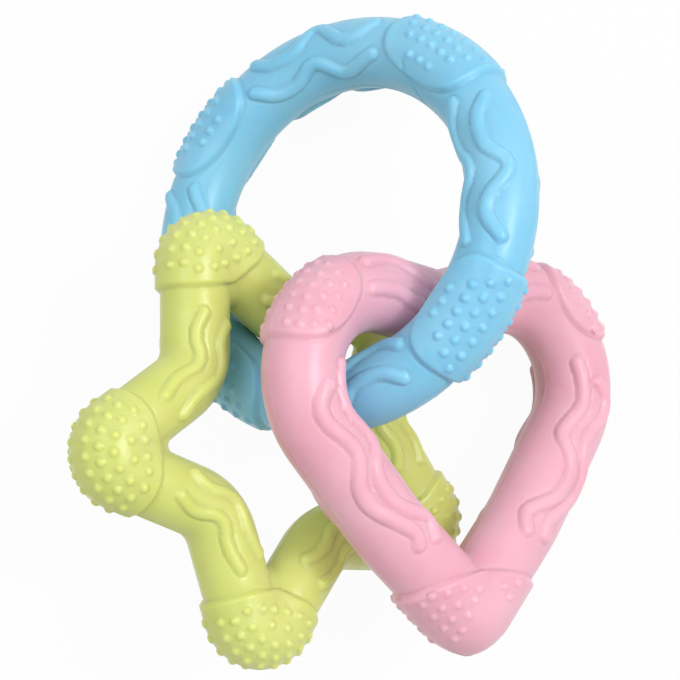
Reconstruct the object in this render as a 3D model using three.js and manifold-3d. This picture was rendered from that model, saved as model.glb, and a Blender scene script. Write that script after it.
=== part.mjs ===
import * as THREE from 'three';
import { mergeVertices } from 'three/addons/utils/BufferGeometryUtils.js';
import Module from 'manifold-3d';

const wasm = await Module();
wasm.setup();

// A puppy's chew toy of three soft rubber rings, a round one, a star and a
// heart. The star and the heart are each linked through the round ring.
// Millimetres, +Z up, lying on the plane z = 0.

// Round ring
const roundRadius = 39;
const roundTube = 7.8;
const roundRibTurn = 9.5;
const roundPatchTurn = 54.5;

// Star ring: rounded tips and softly bent valleys between them
const starPoints = 5;
const starTube = 7.5;
const starTipReach = 38;
const starTipRadius = 4.3;
const starBendReach = 36.9;
const starBendRadius = 11.3;

// Heart ring: two lobes, a cleft, a tip and arms that bow out a little
const heartTube = 8.4;
const heartLobeX = 19.1;
const heartLobeY = 8.4;
const heartLobeRadius = 18.7;
const heartCleftY = 26.8;
const heartCleftRadius = 3.3;
const heartTipY = -37;
const heartTipRadius = 2.8;
const heartArmBow = 1.4;
const heartArmRadius = 50;
const heartPatchAngle = 45;

// Smallest radius that the mould leaves in an inner corner
const notchRadius = 1.6;

// Raised patches, each an oval on the ring's plane: how far its middle lies
// outside the tube's centre line, its half depth and its half length. They rise
// as far as the tips of the fine nubs that cover them.
const patchRise = 1.9;
const roundPatch = { outside: 6, depth: 10.5, length: 14 };
const starPatch = { outside: 4.7, depth: 11.8, length: 16.5 };
const heartLobePatch = { outside: 7.3, depth: 9, length: 11.2 };
const heartTipPatch = { outside: 6.2, depth: 12, length: 17.5 };

// Ribs, half-round beads that wave along the tube on both faces. Each bend of a
// rib is [mm along the ring from the middle of its arc, degrees round the tube],
// where 0 is the outside, 90 the face and 180 the inside.
const ribWidth = 2.8;
const ribFoot = 3;
const ribHeight = 0.95;
const roundRibs = [
  [[-14.5, 54], [-11, 84], [-7, 84], [-0.9, 49], [3.9, 84], [10.5, 84], [14.2, 57]],
  [[-16.6, 111], [-8, 144], [-0.3, 116], [6, 138], [12.5, 137], [17.1, 108]],
];
const starRibs = [
  [[-11.8, 73], [-7, 58], [0, 72], [6.5, 62], [12.3, 73]],
  [[-10.5, 122], [-5, 104], [-0.8, 119], [4.5, 106], [10.5, 118]],
];
const heartArmRibs = [
  [[37, 88], [32.5, 57], [24, 80], [10.5, 48], [0, 88], [-4, 68]],
  [[41, 117], [27, 121], [19, 139], [8, 89], [-2, 137], [-5, 112]],
];
const heartTopRibs = [
  [[22, 25], [14, 51], [9, 79]],
  [[24, 91], [15.5, 95], [10, 104]],
];

// How the rings lie: middle, lean about a level line, and turn in the ring's plane
const roundLie = { x: 0, y: 25, z: 31.5, lean: 35.4, leanHeading: -114.4, turn: 0 };
const starLie = { x: -13.3, y: -20.4, z: 31.9, lean: 37.2, leanHeading: 103.4, turn: 25 };
const heartLie = { x: 22.7, y: -17.1, z: 36.9, lean: 38.4, leanHeading: 102.9, turn: 2.5 };

// The gap left where rings bear on each other, and the way that each ring is
// slid until it bears on the round one
const clearance = 0.3;
const starSeat = new THREE.Vector3(0.68, 0.7, 0.22);
const heartSeat = new THREE.Vector3(0, 0, 1);
const seatReach = 6;
const seatSteps = 18;

// Fineness of the facets
const tubeSides = 16;
const arcStep = 18;
const ribSides = 6;
const ribSplit = 2;
const ribSunk = 0.5;
const ovalSteps = 6;
const smoothing = 0.1;

const degrees = Math.PI / 180;

// The right-hand side of a heading, which is outward on a ring drawn anticlockwise
function outward(heading) {
  return new THREE.Vector2(Math.sin(heading), -Math.cos(heading));
}

// The heading of the straight line that touches two circles of a belt
function tangentHeading(from, to) {
  const across = new THREE.Vector2(to.x - from.x, to.y - from.y);
  const lift = from.bend * from.radius - to.bend * to.radius;
  return Math.atan2(across.y, across.x) + Math.asin(lift / across.length());
}

// The centre line of a ring runs like a belt round circles: bend is 1 where it
// goes round the outside of a circle and -1 where it is pressed inward by one.
// Each arc keeps its first heading and how far it turns.
function beltArcs(circles) {
  const headings = circles.map((circle, k) => tangentHeading(circle, circles[(k + 1) % circles.length]));
  return circles.map((circle, k) => {
    const first = headings[(k + circles.length - 1) % circles.length];
    let sweep = headings[k] - first;
    while (sweep * circle.bend < 0) {
      sweep += circle.bend * 2 * Math.PI;
    }
    while (Math.abs(sweep) > 2 * Math.PI) {
      sweep -= circle.bend * 2 * Math.PI;
    }
    return { ...circle, first, sweep };
  });
}

// A full circle as a belt of one arc
function fullCircle(radius) {
  return [{ x: 0, y: 0, radius, bend: 1, first: Math.PI / 2, sweep: 2 * Math.PI }];
}

// A point beside the centre line of an arc, at a distance outward from it. Past
// the middle of a tight arc the two sides meet in a corner of the notch radius.
function besideArc(arc, heading, distance) {
  const reach = arc.bend * arc.radius + distance;
  const rounded = arc.bend * Math.max(arc.bend * reach, Math.min(notchRadius, arc.radius));
  const half = arc.sweep / 2;
  const shift = rounded === reach ? 0 : (reach - rounded) / Math.cos(half);
  return new THREE.Vector2(arc.x, arc.y)
    .addScaledVector(outward(arc.first + half), shift)
    .addScaledVector(outward(heading), rounded);
}

// The places along a ring where its skin gets a row of points
function stationsOf(arcs) {
  return arcs.flatMap((arc) => {
    const closed = arc.sweep > 1.99 * Math.PI;
    const steps = Math.max(2, Math.ceil(Math.abs(arc.sweep) / (arcStep * degrees)));
    const count = closed ? 2 * steps : steps + 1;
    const gaps = closed ? count : steps;
    return Array.from({ length: count }, (_, k) => ({ arc, heading: arc.first + (arc.sweep * k) / gaps }));
  });
}

// The round tube along a ring: a torus whose rows are moved to the stations
function tubeGeometry(arcs, tubeRadius) {
  const stations = stationsOf(arcs);
  const geometry = new THREE.TorusGeometry(2, 1, tubeSides, stations.length);
  const { position, uv } = geometry.attributes;
  for (let k = 0; k < position.count; k += 1) {
    const { arc, heading } = stations[Math.round(uv.getX(k) * stations.length) % stations.length];
    const around = uv.getY(k) * 2 * Math.PI;
    const place = besideArc(arc, heading, tubeRadius * Math.cos(around));
    position.setXYZ(k, place.x, place.y, tubeRadius * Math.sin(around));
  }
  return geometry;
}

function toSolid(geometry) {
  const bare = new THREE.BufferGeometry();
  bare.setAttribute('position', geometry.getAttribute('position'));
  bare.setIndex(geometry.getIndex());
  const merged = mergeVertices(bare, 1e-4);
  return new wasm.Manifold(new wasm.Mesh({
    numProp: 3,
    vertProperties: merged.getAttribute('position').array,
    triVerts: Uint32Array.from(merged.getIndex().array),
  }));
}

function toGeometry(solid) {
  const mesh = solid.getMesh();
  const geometry = new THREE.BufferGeometry();
  geometry.setAttribute('position', new THREE.BufferAttribute(mesh.vertProperties, 3));
  geometry.setIndex(new THREE.BufferAttribute(mesh.triVerts, 1));
  geometry.computeVertexNormals();
  return geometry;
}

// The stretches of a ring's centre line, its arcs and the straight lines between
// them, each with the distance at which it starts
function stretchesOf(arcs) {
  const stretches = [];
  let start = 0;
  const add = (from, to, length) => {
    stretches.push({ from, to, start, length });
    start += length;
  };
  arcs.forEach((arc, k) => {
    const next = arcs[(k + 1) % arcs.length];
    const last = { arc, heading: arc.first + arc.sweep };
    const first = { arc: next, heading: next.first };
    add({ arc, heading: arc.first }, last, Math.abs(arc.sweep) * arc.radius);
    add(last, first, besideArc(arc, last.heading, 0).distanceTo(besideArc(next, first.heading, 0)));
  });
  return stretches;
}

// The distance along the ring of the middle of an arc
function middleOf(stretches, index) {
  return stretches[2 * index].start + stretches[2 * index].length / 2;
}

// A point on a ring and the way straight out of its skin there
function onRing(stretches, along, around, radius) {
  const last = stretches[stretches.length - 1];
  const total = last.start + last.length;
  const wrapped = THREE.MathUtils.euclideanModulo(along, total);
  const { from, to, start, length } = stretches.findLast((stretch) => stretch.start <= wrapped);
  const share = length > 0 ? (wrapped - start) / length : 0;
  const onArc = from.arc === to.arc;
  const heading = onArc ? THREE.MathUtils.lerp(from.heading, to.heading, share) : from.heading;
  const distance = radius * Math.cos(around);
  const plan = besideArc(from.arc, heading, distance);
  if (!onArc) {
    plan.lerp(besideArc(to.arc, to.heading, distance), share);
  }
  const side = outward(heading).multiplyScalar(Math.cos(around));
  return {
    point: new THREE.Vector3(plan.x, plan.y, radius * Math.sin(around)),
    normal: new THREE.Vector3(side.x, side.y, Math.sin(around)),
  };
}

// A raised patch: a thicker stretch of the tube inside an oval on the ring's plane
function patchSolid(arcs, stretches, tubeRadius, patch) {
  const oval = new THREE.Shape();
  oval.absellipse(0, 0, patch.depth, patch.length, 0, 2 * Math.PI);
  const height = 4 * (tubeRadius + patchRise);
  const stencil = new THREE.ExtrudeGeometry(oval, { depth: height, bevelEnabled: false, curveSegments: ovalSteps });
  const { point, normal } = onRing(stretches, middleOf(stretches, patch.index) + patch.along, 0, patch.outside);
  stencil.translate(0, 0, -height / 2);
  stencil.rotateZ(Math.atan2(normal.y, normal.x));
  stencil.translate(point.x, point.y, 0);
  return toSolid(tubeGeometry(arcs, tubeRadius + patchRise)).intersect(toSolid(stencil));
}

// A rib: a long bead, half sunk in the skin, that waves from bend to bend
function ribSolid(stretches, tubeRadius, bends) {
  const wave = new THREE.SplineCurve(bends.map(([along, around]) => new THREE.Vector2(along, around)));
  const count = ribSplit * (bends.length - 1);
  const spots = wave.getPoints(count).map(({ x, y }) => onRing(stretches, x, y * degrees, tubeRadius));
  const line = new THREE.CatmullRomCurve3(spots.map((spot) => spot.point));
  const bead = new THREE.SphereGeometry(1, ribSides, count + 2);
  const { position, uv } = bead.attributes;
  for (let k = 0; k < position.count; k += 1) {
    const level = Math.round((1 - uv.getY(k)) * (count + 2)) - 1;
    const spot = spots[THREE.MathUtils.clamp(level, 0, count)];
    const forward = line.getTangent(THREE.MathUtils.clamp(level / count, 0, 1));
    const across = new THREE.Vector3().crossVectors(forward, spot.normal).normalize();
    const end = level < 0 || level > count;
    const overhang = end ? (Math.sign(level) * ribWidth) / 2 : 0;
    const turn = uv.getX(k) * 2 * Math.PI;
    const corner = spot.point.clone()
      .addScaledVector(forward, overhang)
      .addScaledVector(across, end ? 0 : (Math.cos(turn) * ribFoot) / 2)
      .addScaledVector(spot.normal, (end ? 0 : Math.sin(turn) * (ribHeight + ribSunk)) - ribSunk);
    position.setXYZ(k, corner.x, corner.y, corner.z);
  }
  return toSolid(bead);
}

// A ring: its tube with the patches, and the ribs, alike on both faces
function ringSolid(arcs, tubeRadius, patches, ribs) {
  const stretches = stretchesOf(arcs);
  const pieces = patches.map((patch) => patchSolid(arcs, stretches, tubeRadius, patch));
  ribs.forEach((rib) => {
    const middle = middleOf(stretches, rib.index);
    [1, -1].forEach((face) => {
      const bends = rib.bends.map(([along, around]) => [middle + along, face * around]);
      pieces.push(ribSolid(stretches, tubeRadius, bends));
    });
  });
  return wasm.Manifold.union([toSolid(tubeGeometry(arcs, tubeRadius)), ...pieces]).simplify(smoothing);
}

// The round ring, with four patches; grow makes its tube thicker for seating
function roundSolid(grow) {
  const arcs = fullCircle(roundRadius);
  const quarters = [0, 90, 180, 270];
  const alongTo = (angle) => (angle - 180) * degrees * roundRadius;
  const patches = quarters.map((angle) => (
    { ...roundPatch, index: 0, along: alongTo(roundPatchTurn + angle) }
  ));
  const ribs = quarters.flatMap((angle) => roundRibs.map((bends) => (
    { index: 0, bends: bends.map(([along, around]) => [along + alongTo(roundRibTurn + angle), around]) }
  )));
  return ringSolid(arcs, roundTube + grow, patches, ribs);
}

// The star ring, with a patch round each tip and ribs in each valley
function starSolid() {
  const circles = Array.from({ length: 2 * starPoints }, (_, k) => {
    const tip = k % 2 === 0;
    const angle = 90 * degrees + (k * Math.PI) / starPoints;
    const reach = tip ? starTipReach : starBendReach;
    return {
      x: reach * Math.cos(angle),
      y: reach * Math.sin(angle),
      radius: tip ? starTipRadius : starBendRadius,
      bend: tip ? 1 : -1,
    };
  });
  const tips = circles.map((_, k) => k).filter((k) => k % 2 === 0);
  const patches = tips.map((index) => ({ ...starPatch, index, along: 0 }));
  const ribs = tips.flatMap((tip) => starRibs.map((bends) => ({ index: tip + 1, bends })));
  return ringSolid(beltArcs(circles), starTube, patches, ribs);
}

// The wide circle that bows a straight arm out between the tip and the lobe
function bowCircle(tip, lobe) {
  const side = outward(tangentHeading(tip, lobe));
  const onTip = new THREE.Vector2(tip.x, tip.y).addScaledVector(side, tip.radius);
  const onLobe = new THREE.Vector2(lobe.x, lobe.y).addScaledVector(side, lobe.radius);
  const middle = onTip.lerp(onLobe, 0.5).addScaledVector(side, heartArmBow - heartArmRadius);
  return { x: middle.x, y: middle.y, radius: heartArmRadius, bend: 1 };
}

// The heart ring, with patches on the shoulders of the lobes and round the tip
function heartSolid() {
  const tip = { x: 0, y: heartTipY, radius: heartTipRadius, bend: 1 };
  const lobe = { x: heartLobeX, y: heartLobeY, radius: heartLobeRadius, bend: 1 };
  const cleft = { x: 0, y: heartCleftY, radius: heartCleftRadius, bend: -1 };
  const arm = bowCircle(tip, lobe);
  const mirrored = (circle) => ({ ...circle, x: -circle.x });
  const arcs = beltArcs([tip, arm, lobe, cleft, mirrored(lobe), mirrored(arm)]);
  const shoulder = (heartPatchAngle + 90) * degrees - arcs[2].first - arcs[2].sweep / 2;
  const patches = [
    { ...heartTipPatch, index: 0, along: 0 },
    { ...heartLobePatch, index: 2, along: shoulder * heartLobeRadius },
    { ...heartLobePatch, index: 4, along: -shoulder * heartLobeRadius },
  ];
  const flipped = (bends) => bends.map(([along, around]) => [-along, around]);
  const ribs = [
    ...heartArmRibs.flatMap((bends) => [{ index: 1, bends }, { index: 5, bends: flipped(bends) }]),
    ...heartTopRibs.flatMap((bends) => [{ index: 3, bends }, { index: 3, bends: flipped(bends) }]),
  ];
  return ringSolid(arcs, heartTube, patches, ribs);
}

// The place of a ring, from how it lies
function placeOf(lie) {
  const heading = lie.leanHeading * degrees;
  const levelLine = new THREE.Vector3(Math.cos(heading), Math.sin(heading), 0);
  const turned = new THREE.Quaternion().setFromAxisAngle(new THREE.Vector3(0, 0, 1), lie.turn * degrees);
  const quaternion = new THREE.Quaternion().setFromAxisAngle(levelLine, lie.lean * degrees).multiply(turned);
  return { position: new THREE.Vector3(lie.x, lie.y, lie.z), quaternion };
}

function placed(solid, place) {
  const matrix = new THREE.Matrix4().compose(place.position, place.quaternion, new THREE.Vector3(1, 1, 1));
  return solid.transform(matrix.elements);
}

// Slides a ring along a direction until it just clears what it bears on
function seat(place, solid, against, direction) {
  const way = direction.clone().normalize();
  const start = place.position.clone();
  let low = -seatReach;
  let high = seatReach;
  for (let k = 0; k < seatSteps; k += 1) {
    const middle = (low + high) / 2;
    place.position.copy(start).addScaledVector(way, middle);
    if (placed(solid, place).intersect(against).isEmpty()) {
      high = middle;
    } else {
      low = middle;
    }
  }
  place.position.copy(start).addScaledVector(way, high);
}

function ringMesh(name, solid, place, color) {
  const material = new THREE.MeshStandardMaterial({ color, roughness: 0.5, metalness: 0 });
  const mesh = new THREE.Mesh(toGeometry(solid), material);
  mesh.name = name;
  mesh.position.copy(place.position);
  mesh.quaternion.copy(place.quaternion);
  return mesh;
}

const round = roundSolid(0);
const star = starSolid();
const heart = heartSolid();
const roundPlace = placeOf(roundLie);
const starPlace = placeOf(starLie);
const heartPlace = placeOf(heartLie);
const gauge = placed(roundSolid(clearance), roundPlace);
seat(starPlace, star, gauge, starSeat);
seat(heartPlace, heart, gauge, heartSeat);

const toy = new THREE.Group();
toy.add(ringMesh('round_ring', round, roundPlace, '#7cc8ea'));
toy.add(ringMesh('star_ring', star, starPlace, '#d6e07e'));
toy.add(ringMesh('heart_ring', heart, heartPlace, '#f6bacd'));

// The toy lies on the plane z = 0, with the middle of its box over the origin
const box = new THREE.Box3().setFromObject(toy, true);
const middle = box.getCenter(new THREE.Vector3());
toy.position.set(-middle.x, -middle.y, -box.min.z);

export default toy;
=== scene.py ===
import math

import bmesh
import bpy
import numpy as np
from mathutils import Matrix, Quaternion, Vector


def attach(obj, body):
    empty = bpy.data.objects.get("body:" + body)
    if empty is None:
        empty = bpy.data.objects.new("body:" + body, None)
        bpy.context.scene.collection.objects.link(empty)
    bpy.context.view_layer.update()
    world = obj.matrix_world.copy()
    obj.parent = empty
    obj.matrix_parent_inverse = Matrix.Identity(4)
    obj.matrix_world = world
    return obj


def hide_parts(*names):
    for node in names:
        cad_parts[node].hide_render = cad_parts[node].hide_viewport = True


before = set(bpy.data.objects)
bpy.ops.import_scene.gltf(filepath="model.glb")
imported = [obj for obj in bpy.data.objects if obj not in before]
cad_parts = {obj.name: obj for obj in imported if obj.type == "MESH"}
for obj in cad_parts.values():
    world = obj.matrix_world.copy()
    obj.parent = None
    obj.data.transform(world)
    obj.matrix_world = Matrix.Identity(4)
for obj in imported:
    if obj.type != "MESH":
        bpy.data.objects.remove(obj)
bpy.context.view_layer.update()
mm = 0.001


def outward(heading):
    # right-hand side of a heading, outward on a ring drawn anticlockwise
    return np.stack([np.sin(heading), -np.cos(heading)], axis=-1)


def tangentHeading(a, b):
    dx, dy = b["x"] - a["x"], b["y"] - a["y"]
    lift = a["bend"] * a["radius"] - b["bend"] * b["radius"]
    return math.atan2(dy, dx) + math.asin(lift / math.hypot(dx, dy))


def beltArcs(circles):
    # the centre line runs like a belt round circles; bend is -1 where one presses it inward
    headings = [tangentHeading(c, circles[(k + 1) % len(circles)]) for k, c in enumerate(circles)]
    arcs = []
    for k, c in enumerate(circles):
        first = headings[k - 1]
        sweep = headings[k] - first
        while sweep * c["bend"] < 0:
            sweep += c["bend"] * 2 * math.pi
        while abs(sweep) > 2 * math.pi:
            sweep -= c["bend"] * 2 * math.pi
        arcs.append({**c, "first": first, "sweep": sweep})
    return arcs


def makePath(arcs, spacing):
    # stations along the ring: each is a place between the end of one arc and the start of the next
    rows = []
    for k, arc in enumerate(arcs):
        after = arcs[(k + 1) % len(arcs)]
        steps = max(8, round(abs(arc["sweep"]) * max(arc["radius"], 6) / spacing))
        for i in range(steps):
            heading = arc["first"] + arc["sweep"] * i / steps
            rows.append((k, heading, k, heading, 0))
        if len(arcs) > 1:
            end = arc["first"] + arc["sweep"]
            here = np.array([arc["x"], arc["y"]]) + arc["bend"] * arc["radius"] * outward(end)
            reach = after["bend"] * after["radius"]
            there = np.array([after["x"], after["y"]]) + reach * outward(after["first"])
            steps = max(1, round(float(np.linalg.norm(there - here)) / spacing))
            for i in range(steps):
                rows.append((k, end, (k + 1) % len(arcs), after["first"], i / steps))
    rows = np.array(rows)
    path = {"arcs": arcs, "rows": rows}
    centre = beside(path, rows, np.zeros(len(rows)))
    gaps = np.linalg.norm(np.roll(centre, -1, axis=0) - centre, axis=1)
    path["length"] = float(gaps.sum())
    path["along"] = np.concatenate([[0], np.cumsum(gaps)[:-1]])
    middles = {}
    for k, arc in enumerate(arcs):
        own = (rows[:, 0] == k) & (rows[:, 4] == 0)
        span = abs(arc["sweep"]) * arc["radius"]
        middles[k] = float(path["along"][own][0] + span / 2)
    path["middles"] = middles
    return path


leastBend = 1.6  # mm, the radius that a tight inner corner keeps


def besideArc(path, index, heading, distance):
    # a point beside an arc, at a distance outward
    arcs = path["arcs"]
    table = np.array([[a["x"], a["y"], a["radius"], a["bend"], a["first"], a["sweep"]] for a in arcs])
    x, y, radius, bend, first, sweep = table[index.astype(int)].T
    reach = bend * radius + distance
    rounded = bend * np.maximum(bend * reach, np.minimum(leastBend, radius))
    slant = np.cos(np.minimum(sweep / 2, 1.45))
    shift = np.where(np.abs(rounded - reach) > 1e-9, (reach - rounded) / slant, 0)
    middle = outward(first + sweep / 2)
    side = outward(heading)
    return np.stack([x, y], axis=-1) + shift[:, None] * middle + rounded[:, None] * side


def beside(path, rows, distance):
    a = besideArc(path, rows[:, 0], rows[:, 1], distance)
    b = besideArc(path, rows[:, 2], rows[:, 3], distance)
    t = rows[:, 4][:, None]
    return a * (1 - t) + b * t


def rowsAt(path, along):
    # the stations at any distances along the ring
    along = np.mod(np.asarray(along, float), path["length"])
    ends = np.append(path["along"], path["length"])
    k = np.clip(np.searchsorted(ends, along, side="right") - 1, 0, len(path["rows"]) - 1)
    t = (along - ends[k]) / (ends[k + 1] - ends[k])
    rows = path["rows"][k].copy()
    after = path["rows"][(k + 1) % len(path["rows"])]
    sameArc = (rows[:, 4] == 0) & (after[:, 0] == rows[:, 0])
    onArc = sameArc & (after[:, 4] == 0)
    turn = (after[:, 1] - rows[:, 1] + math.pi) % (2 * math.pi) - math.pi
    rows[:, 1] = np.where(onArc, rows[:, 1] + turn * t, rows[:, 1])
    rows[:, 3] = np.where(onArc, rows[:, 1], rows[:, 3])
    straight = ~onArc
    nextT = np.where(after[:, 4] > rows[:, 4], after[:, 4], 1)
    rows[:, 4] = np.where(straight, rows[:, 4] + (nextT - rows[:, 4]) * t, rows[:, 4])
    return rows


def skin(path, rows, around, radius):
    # points on the tube: around is 0 on the outside, 90 on the upper face, 180 on the inside
    plan = beside(path, rows, radius * np.cos(around))
    return np.column_stack([plan, radius * np.sin(around)])


def smoothStep(low, high, value):
    t = np.clip((value - low) / (high - low), 0, 1)
    return t * t * (3 - 2 * t)


ribLine = {
    "pointsPerKnot": 12,
    "degreeWeight": 0.14,  # mm round the tube for each degree
    "step": 0.35,  # mm between points
    "easing": 22,  # passes that ease the bends
}


def splinePoints(knots, count):
    # a smooth line through given knots (Catmull-Rom), with its bends eased
    knots = np.array(knots, float)
    padded = np.vstack([2 * knots[0] - knots[1], knots, 2 * knots[-1] - knots[-2]])
    out = []
    for k in range(len(knots) - 1):
        a, b, c, d = padded[k:k + 4]
        t = np.linspace(0, 1, count, endpoint=False)[:, None]
        square = (2 * a - 5 * b + 4 * c - d) * t ** 2
        cube = (3 * b - a - 3 * c + d) * t ** 3
        out.append(0.5 * (2 * b + (c - a) * t + square + cube))
    out.append(knots[-1:])
    line = np.vstack(out)
    gaps = np.linalg.norm(np.diff(line, axis=0) * (1, ribLine["degreeWeight"]), axis=1)
    walked = np.concatenate([[0], np.cumsum(gaps)])
    even = np.linspace(0, walked[-1], max(8, int(walked[-1] / ribLine["step"])))
    line = np.column_stack([np.interp(even, walked, line[:, 0]), np.interp(even, walked, line[:, 1])])
    for _ in range(ribLine["easing"]):
        line[1:-1] = (line[:-2] + 2 * line[1:-1] + line[2:]) / 4
    return line


def fromLine(points, line, reach):
    # the points near a line and their distances to it
    low, high = line.min(axis=0) - reach, line.max(axis=0) + reach
    near = np.all((points > low) & (points < high), axis=1).nonzero()[0]
    best = np.full(len(near), 99.0)
    for a, b in zip(line[:-1], line[1:]):
        span = b - a
        t = np.clip((points[near] - a) @ span / max(span @ span, 1e-9), 0, 1)
        best = np.minimum(best, np.linalg.norm(points[near] - a - t[:, None] * span, axis=1))
    return near, best


relief = {
    "creaseOffset": 0.1, "creaseWidth": 0.24,  # mm, beside the foot of a raised shape
    "ribRoundness": 0.55,  # 0.5 is half-round, more is flatter at the foot
    "seamDepth": 0.35, "seamInner": 0.1, "seamOuter": 0.7,
}


def foot(gap, depth):
    # the fine crease that a mould leaves round the foot of a raised shape
    return depth * np.exp(-((gap - relief["creaseOffset"]) / relief["creaseWidth"]) ** 2)


def patchReach(plan, patch):
    # how far a point of the ring's plane is inside a patch's outline, about in mm
    forward = (plan - patch["middle"]) @ patch["forward"]
    sideways = (plan - patch["middle"]) @ patch["sideways"]
    power = patch["squareness"]
    total = np.abs(forward / patch["depth"]) ** power + np.abs(sideways / patch["length"]) ** power
    return (1 - total ** (1 / power)) * min(patch["depth"], patch["length"])


def ringHeights(ring, plan, around, base):
    height = np.zeros(len(base))
    crease = np.zeros(len(base))
    half = ring["ribWidth"] / 2
    for line in ring["ribLines"]:
        near, gap = fromLine(base, line, half + 1)
        bead = ring["ribHeight"] * (1 - np.clip(gap / half, 0, 1) ** 2) ** relief["ribRoundness"]
        height[near] = np.maximum(height[near], bead)
        crease[near] = np.maximum(crease[near], foot(gap - half, ring["crease"]))
    patchHeight = np.zeros(len(base))
    patchCrease = np.zeros(len(base))
    for patch in ring["patches"]:
        inside = patchReach(plan, patch)
        rim = ring["rimWidth"] / 2
        rise = ring["patchRise"]
        if "point" in patch:  # the patch runs out to a blunt point
            across = (plan - patch["middle"]) @ patch["sideways"]
            outer = np.clip(np.cos(around), 0, 1)
            rise = rise + patch["point"] * np.exp(-(across / patch["pointWidth"]) ** 2) * outer
        patchHeight = np.maximum(patchHeight, rise * smoothStep(-rim, rim, inside))
        patchCrease = np.maximum(patchCrease, foot(-inside - rim, ring["crease"]))
    onPatch = patchHeight > 0.02
    height = np.where(onPatch, patchHeight, height)
    crease = np.maximum(np.where(onPatch, 0, crease), patchCrease)
    height -= crease * (1 - smoothStep(0, 0.5, height))
    # the mould's parting line, a fine raised line on the outside and the inside
    away = np.abs(ring["tube"] * np.sin(around))
    height += ring["partingHeight"] * (1 - smoothStep(0, ring["partingWidth"] / 2, away))
    for seam in ring.get("seams", []):
        near, gap = fromLine(base, seam, 1)
        height[near] -= relief["seamDepth"] * (1 - smoothStep(relief["seamInner"], relief["seamOuter"], gap))
    return height


def ringGrid(name, stations, sides):
    # a flat grid, later wrapped round the tube
    bm = bmesh.new()
    bmesh.ops.create_grid(bm, x_segments=stations, y_segments=sides, size=1)
    mesh = bpy.data.meshes.new(name)
    bm.to_mesh(mesh)
    bm.free()
    return mesh


def wrapRing(mesh, path, ring, sides):
    count = len(mesh.vertices)
    flat = np.empty(count * 3)
    mesh.vertices.foreach_get("co", flat)
    flat = flat.reshape(-1, 3)
    stations = len(path["rows"])
    k = np.rint((flat[:, 0] + 1) / 2 * stations).astype(int) % stations
    turn = np.rint((flat[:, 1] + 1) / 2 * sides) % sides / sides * 2 * math.pi
    around = turn - ring["crowding"] * np.sin(2 * turn) / 2  # more lines beside the parting line
    rows = path["rows"][k]
    base = skin(path, rows, around, ring["tube"])
    height = ringHeights(ring, base[:, :2], around, base)
    radius = ring["tube"] + height
    plan = beside(path, rows, radius * np.cos(around))
    placed = np.column_stack([plan, radius * np.sin(around)])
    mesh.vertices.foreach_set("co", (placed * mm).ravel())
    mesh.update()


def makeNub(profile):
    # one low nub with a soft skirt and a round top, turned from its profile in mm
    bm = bmesh.new()
    verts = [bm.verts.new((out * mm, 0, up * mm)) for out, up in profile]
    edges = [bm.edges.new(pair) for pair in zip(verts, verts[1:])]
    bmesh.ops.spin(bm, geom=verts + edges, cent=(0, 0, 0), axis=(0, 0, 1), angle=2 * math.pi,
                   steps=10, use_merge=True)
    bmesh.ops.remove_doubles(bm, verts=bm.verts, dist=1e-7)
    bmesh.ops.recalc_face_normals(bm, faces=bm.faces)
    mesh = bpy.data.meshes.new("nub")
    bm.to_mesh(mesh)
    bm.free()
    return mesh


def evenSteps(count):
    return [i - (count - 1) / 2 for i in range(count)]


nubClearance = 10  # degrees from the parting line
patchSearch = 26  # mm to each side of a patch's middle


def nubPlaces(path, ring):
    # rows of nubs on both faces of each patch; a row has its degrees round the tube, its steps
    # from the middle, its pitch in mm and the degrees that it drifts from nub to nub
    places = []
    for patch in ring["patches"]:
        alongs = np.arange(patch["along"] - patchSearch, patch["along"] + patchSearch, 0.05)
        for around, steps, pitch, drift in patch["rows"]:
            for face in (1, -1):
                angle = np.full(len(alongs), math.radians(around) * face)
                line = skin(path, rowsAt(path, alongs), angle, ring["tube"] + ring["patchRise"])
                walked = np.concatenate([[0], np.cumsum(np.linalg.norm(np.diff(line, axis=0), axis=1))])
                centre = np.interp(patch["along"] + patch.get("shift", 0) * patch["sense"], alongs, walked)
                for step in steps:
                    along = float(np.interp(centre + step * pitch, walked, alongs))
                    # a nub keeps clear of its mirror image on the other face
                    turn = max(around + step * drift * patch["sense"], nubClearance)
                    places.append((along, math.radians(turn) * face))
    return places


def addNubs(name, path, ring):
    places = np.array(nubPlaces(path, ring))
    rows = rowsAt(path, places[:, 0])
    around = places[:, 1]
    base = skin(path, rows, around, ring["tube"])
    radius = ring["tube"] + ringHeights(ring, base[:, :2], around, base)
    spots = np.column_stack([beside(path, rows, radius * np.cos(around)), radius * np.sin(around)])
    normals = np.column_stack([outward(rows[:, 1]) * np.cos(around)[:, None], np.sin(around)])
    nub = makeNub(ring["nub"])
    bm = bmesh.new()
    for spot, normal in zip(spots, normals):
        turned = Vector((0, 0, 1)).rotation_difference(Vector(normal)).to_matrix().to_4x4()
        start = len(bm.verts)
        bm.from_mesh(nub)
        bm.verts.ensure_lookup_table()
        bmesh.ops.transform(bm, matrix=Matrix.Translation(Vector(spot) * mm) @ turned, verts=bm.verts[start:])
    mesh = bpy.data.meshes.new(name)
    bm.to_mesh(mesh)
    bm.free()
    bpy.data.meshes.remove(nub)
    return mesh


def fuse(piece, other):
    # the nubs grow out of the skin, so they become one shell with it
    union = piece.modifiers.new("union", "BOOLEAN")
    union.operation = "UNION"
    union.solver = "MANIFOLD"
    union.object = other
    depsgraph = bpy.context.evaluated_depsgraph_get()
    joined = bpy.data.meshes.new_from_object(piece.evaluated_get(depsgraph))
    piece.modifiers.clear()
    old = piece.data
    piece.data = joined
    joined.name = old.name
    bpy.data.meshes.remove(old)
    spare = other.data
    bpy.data.objects.remove(other)
    bpy.data.meshes.remove(spare)


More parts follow.
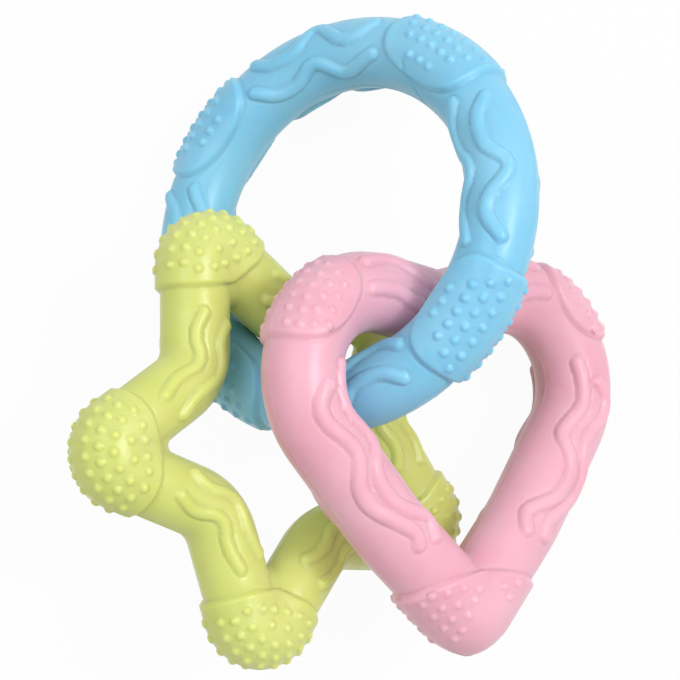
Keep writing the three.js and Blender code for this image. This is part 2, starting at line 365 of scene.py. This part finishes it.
def cleanUnion(bm):
    # the union leaves slivers where the skirts of nubs cross, so only the largest body stays
    bm.verts.ensure_lookup_table()
    seen = set()
    bodies = []
    for vert in bm.verts:
        if vert in seen:
            continue
        seen.add(vert)
        body = [vert]
        for here in body:
            for edge in here.link_edges:
                other = edge.other_vert(here)
                if other not in seen:
                    seen.add(other)
                    body.append(other)
        bodies.append(body)
    bodies.sort(key=len)
    for body in bodies[:-1]:
        bmesh.ops.delete(bm, geom=body, context="VERTS")
    # two faces that share a corner with only two edges would give the same triangle twice
    slack = [vert for vert in bm.verts if len(vert.link_edges) == 2]
    bmesh.ops.dissolve_verts(bm, verts=slack)


def buildRing(name, path, ring, node, body, material):
    sides = ring["sides"]
    mesh = ringGrid(name, len(path["rows"]), sides)
    wrapRing(mesh, path, ring, sides)
    bm = bmesh.new()
    bm.from_mesh(mesh)
    bmesh.ops.remove_doubles(bm, verts=bm.verts, dist=1e-7)
    bmesh.ops.recalc_face_normals(bm, faces=bm.faces)
    bm.to_mesh(mesh)
    bm.free()
    piece = bpy.data.objects.new(name, mesh)
    nubs = bpy.data.objects.new(name + "Nubs", addNubs(name + "Nubs", path, ring))
    bpy.context.scene.collection.objects.link(piece)
    bpy.context.scene.collection.objects.link(nubs)
    fuse(piece, nubs)
    bm = bmesh.new()
    bm.from_mesh(piece.data)
    bmesh.ops.dissolve_degenerate(bm, dist=1e-6, edges=bm.edges)
    cleanUnion(bm)
    bmesh.ops.recalc_face_normals(bm, faces=bm.faces)
    spot = ring["place"]
    turned = Quaternion(spot["turned"]).to_matrix().to_4x4()
    bmesh.ops.transform(bm, matrix=Matrix.Translation(Vector(spot["middle"]) * mm) @ turned, verts=bm.verts)
    for face in bm.faces:
        face.smooth = True
    bm.to_mesh(piece.data)
    bm.free()
    piece.data.materials.clear()
    piece.data.materials.append(material)
    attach(piece, body)
    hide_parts(node)
    triangles = sum(len(face.vertices) - 2 for face in piece.data.polygons)
    print(name, "shell of", triangles, "triangles")
    return piece


def ribLines(path, tube, ribs):
    # ribs are given as (distance along from a reference, degrees around), on both faces
    lines = []
    for reference, knots in ribs:
        pairs = splinePoints(knots, ribLine["pointsPerKnot"])
        for mirror in (1, -1):
            rows = rowsAt(path, reference + pairs[:, 0])
            lines.append(skin(path, rows, np.radians(pairs[:, 1]) * mirror, tube))
    return lines


def setPatch(path, along, outside, size, sense=1):
    here = rowsAt(path, [along])
    spot = beside(path, here, np.array([outside]))[0]
    side = outward(here[:, 1])[0]
    sideways = np.array([-side[1], side[0]])
    return {"along": along, "middle": spot, "forward": side, "sideways": sideways, "sense": sense, **size}


def colour(code):
    # sRGB hex to linear
    values = [int(code[k:k + 2], 16) / 255 for k in (1, 3, 5)]
    return [v / 12.92 if v <= 0.04045 else ((v + 0.055) / 1.055) ** 2.4 for v in values] + [1]


def addNode(material, kind, settings=None, inputs=None):
    node = material.node_tree.nodes.new(kind)
    for key, value in (settings or {}).items():
        setattr(node, key, value)
    for key, value in (inputs or {}).items():
        if isinstance(value, bpy.types.NodeSocket):
            material.node_tree.links.new(value, node.inputs[key])
        else:
            node.inputs[key].default_value = value
    return node


patternSize = {  # mm
    "clouds": 14.3,
    "specks": 6.25,  # spacing of the cells, of which few hold a speck about 0.4 mm across
    "marks": 5.9,
    "grain": 0.5,
    "waves": 5,
}


def scaleOf(pattern):
    return 1 / (patternSize[pattern] * mm)


def mouldedRubber(name, look):
    # moulded thermoplastic rubber: soft waxy sheen, cloudy pigment, tiny specks and a fine mould grain
    material = bpy.data.materials.new(name)
    material.use_nodes = True
    tree = material.node_tree
    tree.nodes.clear()
    place = addNode(material, "ShaderNodeTexCoord").outputs["Object"]
    # slow clouds where the pigment isn't quite even
    clouds = addNode(material, "ShaderNodeTexNoise", None,
                     {"Vector": place, "Scale": scaleOf("clouds"), "Detail": 3, "Roughness": 0.5})
    cloudRange = addNode(material, "ShaderNodeMapRange", None,
                         {"Value": clouds.outputs["Fac"], "From Min": 0.3, "From Max": 0.7})
    base = addNode(material, "ShaderNodeMix", {"data_type": "RGBA"}, {"Factor": cloudRange.outputs["Result"]})
    base.inputs[6].default_value = colour(look["deep"])
    base.inputs[7].default_value = colour(look["light"])
    # dust and pigment specks, few of them
    specks = addNode(material, "ShaderNodeTexVoronoi", None,
                     {"Vector": place, "Scale": scaleOf("specks"), "Randomness": 1.0})
    speckSize = addNode(material, "ShaderNodeMapRange", None,
                        {"Value": specks.outputs["Distance"], "From Min": 0.035, "From Max": 0.06,
                         "To Min": 1, "To Max": 0})
    chosen = addNode(material, "ShaderNodeSeparateColor", None, {"Color": specks.outputs["Color"]})
    some = addNode(material, "ShaderNodeMath", {"operation": "LESS_THAN"},
                   {0: chosen.outputs["Red"], 1: look["specks"]})
    speckAmount = addNode(material, "ShaderNodeMath", {"operation": "MULTIPLY"},
                          {0: speckSize.outputs["Result"], 1: some.outputs["Value"]})
    spotted = addNode(material, "ShaderNodeMix", {"data_type": "RGBA"},
                      {"Factor": speckAmount.outputs["Value"]})
    tree.links.new(base.outputs[2], spotted.inputs[6])
    spotted.inputs[7].default_value = colour(look["speck"])
    # handling marks change the sheen a little
    marks = addNode(material, "ShaderNodeTexNoise", None,
                    {"Vector": place, "Scale": scaleOf("marks"), "Detail": 4, "Roughness": 0.6})
    sheen = addNode(material, "ShaderNodeMapRange", None,
                    {"Value": marks.outputs["Fac"], "To Min": look["roughness"] - 0.05,
                     "To Max": look["roughness"] + 0.07})
    # mould grain over a slow waviness
    grain = addNode(material, "ShaderNodeTexNoise", None,
                    {"Vector": place, "Scale": scaleOf("grain"), "Detail": 2, "Roughness": 0.5})
    waves = addNode(material, "ShaderNodeTexNoise", None,
                    {"Vector": place, "Scale": scaleOf("waves"), "Detail": 2, "Roughness": 0.5})
    grainBump = addNode(material, "ShaderNodeBump", None,
                        {"Strength": 0.25, "Distance": 0.04 * mm, "Height": grain.outputs["Fac"]})
    waveBump = addNode(material, "ShaderNodeBump", None,
                       {"Strength": 0.35, "Distance": 0.3 * mm, "Height": waves.outputs["Fac"],
                        "Normal": grainBump.outputs["Normal"]})
    rubber = addNode(material, "ShaderNodeBsdfPrincipled", None, {
        "Base Color": spotted.outputs[2],
        "Roughness": sheen.outputs["Result"],
        "Normal": waveBump.outputs["Normal"],
        "IOR": 1.5,
        "Subsurface Weight": look["glow"],
        "Subsurface Scale": 2.8 * mm,  # how deep the light sinks in
        "Subsurface Radius": look["bleed"],
        "Specular IOR Level": 0.42,
    })
    addNode(material, "ShaderNodeOutputMaterial", None, {"Surface": rubber.outputs["BSDF"]})
    return material


blueRubber = mouldedRubber("mouldedBlueRubber", {
    "light": "#8fcce6", "deep": "#80c3e0", "speck": "#5b9cba", "specks": 0.05,
    "roughness": 0.34, "glow": 0.8, "bleed": (0.25, 0.6, 0.9)})
greenRubber = mouldedRubber("mouldedGreenRubber", {
    "light": "#d6dc87", "deep": "#ced577", "speck": "#9ea84c", "specks": 0.02,
    "roughness": 0.32, "glow": 0.8, "bleed": (0.7, 0.8, 0.25)})
pinkRubber = mouldedRubber("mouldedPinkRubber", {
    "light": "#e8b5c4", "deep": "#e4a9b9", "speck": "#c9829a", "specks": 0.06,
    "roughness": 0.34, "glow": 0.8, "bleed": (0.9, 0.55, 0.6)})
print("materials made")

nubProfile = [(0, -0.3), (1.35, -0.12), (1.02, 0.08), (0.8, 0.33), (0.5, 0.56), (0, 0.66)]
lowNubProfile = [(0, -0.3), (1.3, -0.1), (0.95, 0.08), (0.7, 0.26), (0.4, 0.42), (0, 0.48)]

roundRing = {
    "radius": 39, "tube": 7.7, "sides": 132, "crowding": 0.25,
    "patchRise": 1.1, "rimWidth": 0.9, "ribWidth": 3.0, "ribHeight": 0.95, "crease": 0.22,
    "partingHeight": 0.19, "partingWidth": 0.6,
    "nub": nubProfile,
    "segmentAngle": 9.5,
    "place": {"middle": (-2.2796, 24.7350, 32.1288), "turned": (0.952661, -0.125597, -0.276878, 0)},
}


def makeRoundRing():
    ring = roundRing
    arcs = [{"x": 0, "y": 0, "radius": ring["radius"], "bend": 1, "first": math.pi / 2, "sweep": 2 * math.pi}]
    path = makePath(arcs, 0.37)
    perDegree = ring["radius"] * math.pi / 180
    ribs = []
    patches = []
    for quarter in range(4):
        segment = (ring["segmentAngle"] + 90 * quarter) * perDegree
        outer = [(-14.5, 54), (-11, 84), (-7, 84), (-0.9, 49), (3.9, 84), (10.5, 84), (14.2, 57)]
        inner = [(-16.6, 111), (-8, 144), (-0.3, 116), (6, 138), (12.5, 137), (17.1, 108)]
        ribs += [(segment, outer), (segment, inner)]
        size = {"depth": 10.8, "length": 12.6, "squareness": 3,
                "rows": [(25, evenSteps(7), 3.6, 0), (47, evenSteps(6), 3.4, 0), (68, evenSteps(5), 3.15, 0),
                         (95, evenSteps(3), 3.0, 0)]}
        patches.append(setPatch(path, segment + 45 * perDegree, 6.2, size))
    ring["ribLines"] = ribLines(path, ring["tube"], ribs)
    ring["patches"] = patches
    seamAlong = np.array([61, 58, 54, 50]) * perDegree
    ring["seams"] = [skin(path, rowsAt(path, seamAlong), np.radians([108, 128, 148, 170]), ring["tube"])]
    return buildRing("roundRing", path, ring, "round_ring", "round", blueRubber)


starRing = {
    "tube": 7.4, "sides": 124, "crowding": 0.25,
    "tipReach": 38, "tipRadius": 4.3, "bendReach": 36.9, "bendRadius": 11.3,
    "patchRise": 1.1, "rimWidth": 0.9, "ribWidth": 2.7, "ribHeight": 0.9, "crease": 0.2,
    "partingHeight": 0.19, "partingWidth": 0.6,
    "nub": nubProfile,
    "place": {"middle": (-15.4310, -20.5122, 32.5768), "turned": (0.925303, -0.005010, 0.318920, 0.205135)},
}


def makeStarRing():
    ring = starRing
    circles = []
    for k in range(10):
        tip = k % 2 == 0
        angle = math.radians(90 + 36 * k)
        reach = ring["tipReach"] if tip else ring["bendReach"]
        circles.append({"x": reach * math.cos(angle), "y": reach * math.sin(angle),
                        "radius": ring["tipRadius"] if tip else ring["bendRadius"], "bend": 1 if tip else -1})
    path = makePath(beltArcs(circles), 0.48)
    ribs = []
    patches = []
    for k in range(5):
        bend = path["middles"][2 * k + 1]
        ribs.append((bend, [(-11.8, 73), (-7, 58), (0, 72), (6.5, 62), (12.3, 73)]))
        ribs.append((bend, [(-10.5, 122), (-5, 104), (-0.8, 119), (4.5, 106), (11.5, 121)]))
        size = {"depth": 11.8, "length": 16.5, "squareness": 2,
                "rows": [(20, evenSteps(9), 3.5, 0), (42, evenSteps(8), 3.4, 0), (63, evenSteps(7), 3.5, 0),
                         (87, evenSteps(4), 4.1, 0), (107, evenSteps(2), 3.8, 0)]}
        patches.append(setPatch(path, path["middles"][2 * k], 4.7, size))
    ring["ribLines"] = ribLines(path, ring["tube"], ribs)
    ring["patches"] = patches
    return buildRing("starRing", path, ring, "star_ring", "star", greenRubber)


heartRing = {
    "tube": 8.4, "sides": 138, "crowding": 0.25,
    "lobe": (19.1, 8.4, 18.7), "cleft": (26.8, 3.3), "tip": (-37, 2.8), "bow": (1.4, 50),
    "patchRise": 1.1, "rimWidth": 0.9, "ribWidth": 3.2, "ribHeight": 0.95, "crease": 0.26,
    "partingHeight": 0.19, "partingWidth": 0.6,
    "nub": lowNubProfile,
    "place": {"middle": (20.4204, -17.3650, 37.4333), "turned": (0.944152, -0.066409, 0.322092, 0.020601)},
}


def mirrored(knots):
    return [(-along, around) for along, around in knots]


def makeHeartRing():
    ring = heartRing
    tip = {"x": 0, "y": ring["tip"][0], "radius": ring["tip"][1], "bend": 1}
    lobe = {"x": ring["lobe"][0], "y": ring["lobe"][1], "radius": ring["lobe"][2], "bend": 1}
    cleft = {"x": 0, "y": ring["cleft"][0], "radius": ring["cleft"][1], "bend": -1}
    side = outward(tangentHeading(tip, lobe))
    onTip = np.array([tip["x"], tip["y"]]) + side * tip["radius"]
    onLobe = np.array([lobe["x"], lobe["y"]]) + side * lobe["radius"]
    middle = (onTip + onLobe) / 2 + side * (ring["bow"][0] - ring["bow"][1])
    arm = {"x": float(middle[0]), "y": float(middle[1]), "radius": ring["bow"][1], "bend": 1}
    circles = [tip, arm, lobe, cleft, {**lobe, "x": -lobe["x"]}, {**arm, "x": -arm["x"]}]
    path = makePath(beltArcs(circles), 0.4)
    middles = path["middles"]
    outer = [(35.2, 92), (32.3, 72), (29.3, 69), (24.6, 82), (20.5, 86), (17.3, 74), (14.3, 57),
             (9.6, 53), (4.5, 68), (1, 80), (-1.5, 86), (-3.6, 76)]
    inner = [(40.5, 123), (35, 119), (28.5, 115), (22.3, 124), (18.8, 128), (16.5, 108), (13.8, 91),
             (9.5, 85), (5, 92), (1, 112), (-1.8, 124), (-4.5, 118), (-6, 108)]
    topOuter = [(22.8, 45), (19.6, 42), (16.6, 45), (13.8, 54), (11.3, 62), (8.3, 72)]
    topInner = [(24.6, 90), (20.8, 94), (16.8, 98), (14.3, 104), (11.3, 108)]
    ribs = [(middles[1], outer), (middles[1], inner),
            (middles[5], mirrored(outer)), (middles[5], mirrored(inner)),
            (middles[3], topOuter), (middles[3], topInner),
            (middles[3], mirrored(topOuter)), (middles[3], mirrored(topInner))]
    ring["ribLines"] = ribLines(path, ring["tube"], ribs)
    lobeSize = {"depth": 8.8, "length": 11.3, "squareness": 2.1, "shift": 0.7,
                "rows": [(15, evenSteps(6), 3.4, 4.2), (36, evenSteps(6), 3.25, 2.9),
                         (54, evenSteps(5), 3.4, 3), (72, evenSteps(4), 3.3, 4)]}
    tipSize = {"depth": 13, "length": 23, "squareness": 2, "point": 0.8, "pointWidth": 3.5,
               "rows": [(24, (-5, -4, -3, -2), 3.6, 0), (41, (-5, -4, -3, -2), 3.5, 0),
                        (59, (-4, -3, -2), 3.5, 0), (79, (-2.5, -1.5, 1.5, 2.5), 3.9, 0),
                        (96, (-0.5, 0.5), 8.5, 0)]}
    shoulders = []
    for index, sign in ((2, 1), (4, -1)):
        arc = path["arcs"][index]
        heading = math.radians(135 if sign == 1 else 225)
        swept = (heading - arc["first"]) % (2 * math.pi)
        own = path["middles"][index] - abs(arc["sweep"]) * arc["radius"] / 2
        shoulders.append(setPatch(path, own + swept * arc["radius"], 7.3, lobeSize, -sign))
    ring["patches"] = shoulders + [setPatch(path, middles[0], 6.2, tipSize)]
    return buildRing("heartRing", path, ring, "heart_ring", "heart", pinkRubber)


makeRoundRing()
makeStarRing()
makeHeartRing()
print("rings made")

studio = {
    "floor": "#e4e4e4", "showThrough": 0.05,
    "camera": (-2.607, -0.501, 483.426), "lens": 110.6,
    "key": (0.62, 0.24, 0.95), "keySize": (0.6, 0.6), "keyPower": 5.1,
    "glint": (0.45, 0.18, 0.7), "glintSize": (0.12, 0.12), "glintPower": 1.4,
    "fill": (-0.5, 0.35, 1.2), "fillSize": (0.8, 0.8), "fillPower": 4.5,
    "air": 0.54,
}


def makeFloor():
    bm = bmesh.new()
    bmesh.ops.create_grid(bm, x_segments=1, y_segments=1, size=1.5)
    mesh = bpy.data.meshes.new("floor")
    bm.to_mesh(mesh)
    bm.free()
    floor = bpy.data.objects.new("floor", mesh)
    bpy.context.scene.collection.objects.link(floor)
    paper = bpy.data.materials.new("mattPaperSweep")
    paper.use_nodes = True
    paper.node_tree.nodes.clear()
    matt = addNode(paper, "ShaderNodeBsdfDiffuse", None, {"Color": colour(studio["floor"])})
    # seen or mirrored, the paper is nearly pure white with a faint shadow
    rays = addNode(paper, "ShaderNodeLightPath")
    seen = addNode(paper, "ShaderNodeMath", {"operation": "MAXIMUM"},
                   {0: rays.outputs["Is Camera Ray"], 1: rays.outputs["Is Glossy Ray"]})
    seen = addNode(paper, "ShaderNodeMath", {"operation": "MAXIMUM"},
                   {0: seen.outputs["Value"], 1: rays.outputs["Is Transmission Ray"]})
    share = addNode(paper, "ShaderNodeMath", {"operation": "MULTIPLY"},
                    {0: seen.outputs["Value"], 1: 1 - studio["showThrough"]})
    white = addNode(paper, "ShaderNodeEmission", None, {"Color": (1, 1, 1, 1), "Strength": 1.0})
    both = addNode(paper, "ShaderNodeMixShader", None, {"Fac": share.outputs["Value"]})
    paper.node_tree.links.new(matt.outputs["BSDF"], both.inputs[1])
    paper.node_tree.links.new(white.outputs["Emission"], both.inputs[2])
    addNode(paper, "ShaderNodeOutputMaterial", None, {"Surface": both.outputs["Shader"]})
    mesh.materials.append(paper)


def addLamp(name, place, size, power, target=(0, 0, 0.03)):
    data = bpy.data.lights.new(name, "AREA")
    data.shape = "RECTANGLE"
    data.size, data.size_y = size
    data.energy = power
    lamp = bpy.data.objects.new(name, data)
    bpy.context.scene.collection.objects.link(lamp)
    lamp.location = place
    lamp.rotation_euler = (Vector(target) - Vector(place)).to_track_quat("-Z", "Y").to_euler()
    return lamp


makeFloor()
world = bpy.data.worlds.new("studio")
bpy.context.scene.world = world
world.use_nodes = True
world.node_tree.nodes["Background"].inputs["Color"].default_value = (1, 1, 1, 1)
world.node_tree.nodes["Background"].inputs["Strength"].default_value = studio["air"]
addLamp("softKey", studio["key"], studio["keySize"], studio["keyPower"])
addLamp("softFill", studio["fill"], studio["fillSize"], studio["fillPower"])
addLamp("glint", studio["glint"], studio["glintSize"], studio["glintPower"])

camera = bpy.data.cameras.new("camera")
camera.lens = studio["lens"]
camera.sensor_width = 36
camera.clip_start = 0.01
cameraObject = bpy.data.objects.new("camera", camera)
bpy.context.scene.collection.objects.link(cameraObject)
cameraObject.location = Vector(studio["camera"]) * mm
bpy.context.scene.camera = cameraObject
bpy.context.scene.view_settings.view_transform = "Standard"
print("studio made")
